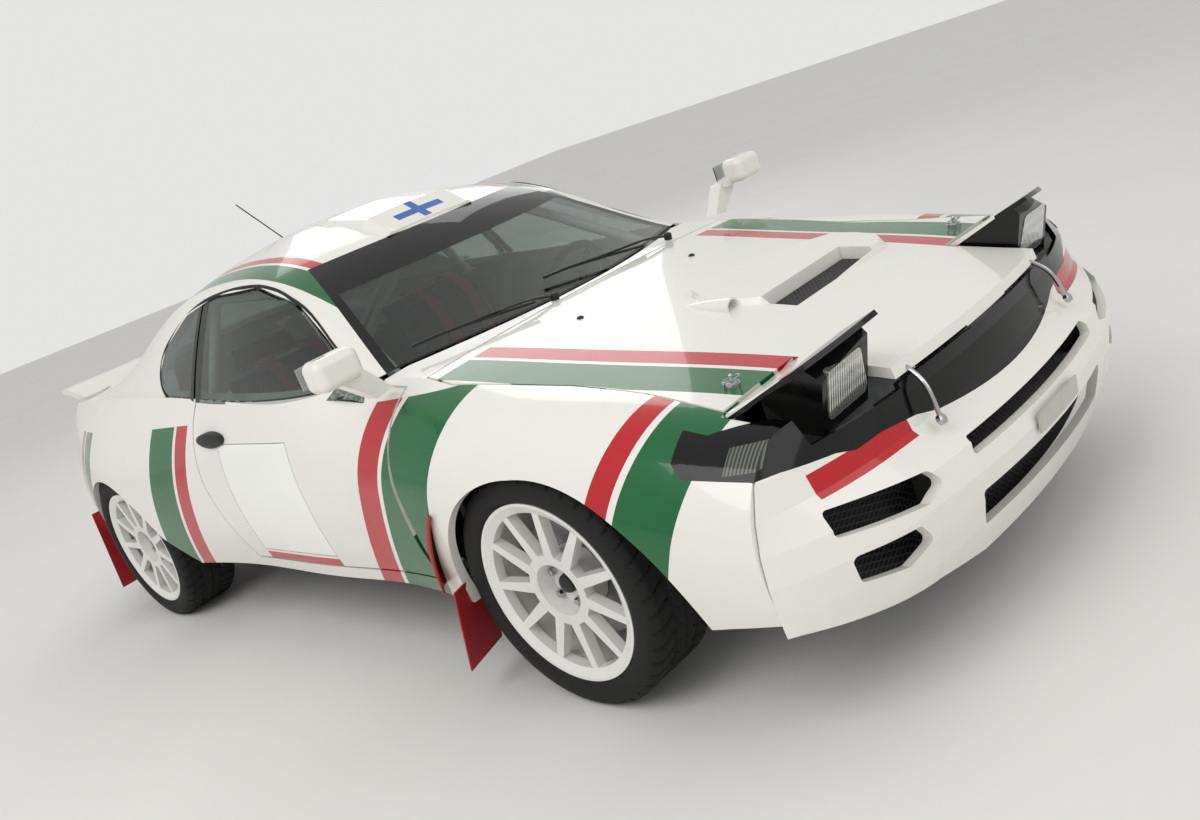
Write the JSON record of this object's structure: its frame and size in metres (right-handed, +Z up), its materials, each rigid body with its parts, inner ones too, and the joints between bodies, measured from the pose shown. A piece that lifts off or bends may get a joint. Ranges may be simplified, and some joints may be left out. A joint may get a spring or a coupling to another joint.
{
  "type": "rally car",
  "caption": "Three-door rally car with raised pop-up lamps, bonnet vent, roof scoop, rear wing, bucket seats, roll cage and steered front wheels.",
  "frame": {"origin": "on the floor under the tyres, on the centreline, half way between the nose and the tail", "axes": "+X to the nose, +Y to the car's left, +Z up"},
  "size_m": [4.399, 1.924, 1.457],
  "materials": {
    "body_paint": "gloss white enamel",
    "glass": "laminated and tempered glass",
    "black_plastic": "moulded black plastic",
    "gloss_black": "gloss black moulding",
    "lamp_glass": "ribbed lamp glass",
    "tail_lens": "red lamp lens",
    "underside": "dark underseal",
    "cabin_steel": "white painted tube",
    "rim_paint": "white painted alloy",
    "tyre": "rubber",
    "bare_steel": "machined steel",
    "alloy": "aluminium plate",
    "seat_cloth": "woven seat cloth",
    "red_rubber": "red flexible sheet",
    "exhaust_steel": "heat-stained steel"
  },
  "bodies": {
    "root": {"floor_pan": "underside", "roof_frame": "body_paint", "fender_left": "body_paint", "fender_right": "body_paint", "windscreen": "glass", "quarter_glass": "glass", "body_side_left": "body_paint", "body_side_right": "body_paint", "tail_panel": "body_paint", "tail_lamps": "tail_lens", "rear_bumper": "body_paint", "front_bumper": "body_paint", "corner_lamps": "lamp_glass", "nose_panel": "gloss_black", "roof_scoop": "body_paint", "aerial": "black_plastic", "mudflaps": "red_rubber", "front_axle": "bare_steel", "rear_axle": "bare_steel", "engine_block": "bare_steel", "sump_guard": "alloy", "exhaust": "exhaust_steel", "seats": "seat_cloth", "dashboard": "black_plastic", "roll_cage": "cabin_steel"},
    "bonnet": {"bonnet": "body_paint", "bonnet_bulge": "body_paint"},
    "hatch": {"hatch": "body_paint", "hatch_glass": "glass", "rear_wing": "body_paint"},
    "steering_wheel": {"steering_wheel": "black_plastic"},
    "door_left": {"door_left": "body_paint", "door_glass_left": "glass", "door_mirror_left": "body_paint"},
    "lamp_left": {"lamp_pod_left": "gloss_black", "lamp_lens_left": "lamp_glass"},
    "knuckle_left": {"knuckle_left": "bare_steel"},
    "wheel_front_left": {"rim_front_left": "rim_paint", "tyre_front_left": "tyre"},
    "wheel_rear_left": {"rim_rear_left": "rim_paint", "tyre_rear_left": "tyre"},
    "door_right": {"door_right": "body_paint", "door_glass_right": "glass", "door_mirror_right": "body_paint"},
    "lamp_right": {"lamp_pod_right": "gloss_black", "lamp_lens_right": "lamp_glass"},
    "knuckle_right": {"knuckle_right": "bare_steel"},
    "wheel_front_right": {"rim_front_right": "rim_paint", "tyre_front_right": "tyre"},
    "wheel_rear_right": {"rim_rear_right": "rim_paint", "tyre_rear_right": "tyre"}
  },
  "joints": [
    {"name": "steer_left", "type": "hinge", "parent": "root", "child": "knuckle_left", "pos_m": [1.283, 0.664, 0.214], "axis": [0, -0.2593, 0.9658], "range_deg": [-32, 32]},
    {"name": "wheel_front_left", "type": "hinge", "parent": "knuckle_left", "child": "wheel_front_left", "pos_m": [1.283, 0.713, 0.318], "axis": [0, 1, 0], "continuous": true},
    {"name": "wheel_rear_left", "type": "hinge", "parent": "root", "child": "wheel_rear_left", "pos_m": [-1.242, 0.713, 0.318], "axis": [0, 1, 0], "continuous": true},
    {"name": "door_left", "type": "hinge", "parent": "root", "child": "door_left", "pos_m": [0.832, 0.846, 0.6], "axis": [0, 0, -1], "range_deg": [0, 62]},
    {"name": "lamp_left", "type": "hinge", "parent": "root", "child": "lamp_left", "pos_m": [1.842, 0.5, 0.688], "axis": [0, 1, 0], "range_deg": [0, 33]},
    {"name": "steer_right", "type": "hinge", "parent": "root", "child": "knuckle_right", "pos_m": [1.283, -0.664, 0.214], "axis": [0, 0.2593, 0.9658], "range_deg": [-32, 32]},
    {"name": "wheel_front_right", "type": "hinge", "parent": "knuckle_right", "child": "wheel_front_right", "pos_m": [1.283, -0.713, 0.318], "axis": [0, 1, 0], "continuous": true},
    {"name": "wheel_rear_right", "type": "hinge", "parent": "root", "child": "wheel_rear_right", "pos_m": [-1.242, -0.713, 0.318], "axis": [0, 1, 0], "continuous": true},
    {"name": "door_right", "type": "hinge", "parent": "root", "child": "door_right", "pos_m": [0.832, -0.846, 0.6], "axis": [0, 0, 1], "range_deg": [0, 62]},
    {"name": "lamp_right", "type": "hinge", "parent": "root", "child": "lamp_right", "pos_m": [1.842, -0.5, 0.688], "axis": [0, 1, 0], "range_deg": [0, 33]},
    {"name": "steering_wheel", "type": "hinge", "parent": "root", "child": "steering_wheel", "pos_m": [0.452, 0.35, 0.758], "axis": [-0.9363, 0, 0.3511], "range_deg": [-390, 390]},
    {"name": "bonnet", "type": "hinge", "parent": "root", "child": "bonnet", "pos_m": [0.903, 0, 0.866], "axis": [0, -1, 0], "range_deg": [0, 50]},
    {"name": "hatch", "type": "hinge", "parent": "root", "child": "hatch", "pos_m": [-0.702, 0, 1.235], "axis": [0, 1, 0], "range_deg": [0, 60]}
  ],
  "couplings": [
    {"joint": "steer_right", "follows": "steer_left", "ratio": 1},
    {"joint": "steering_wheel", "follows": "steer_left", "ratio": 12}
  ]
}
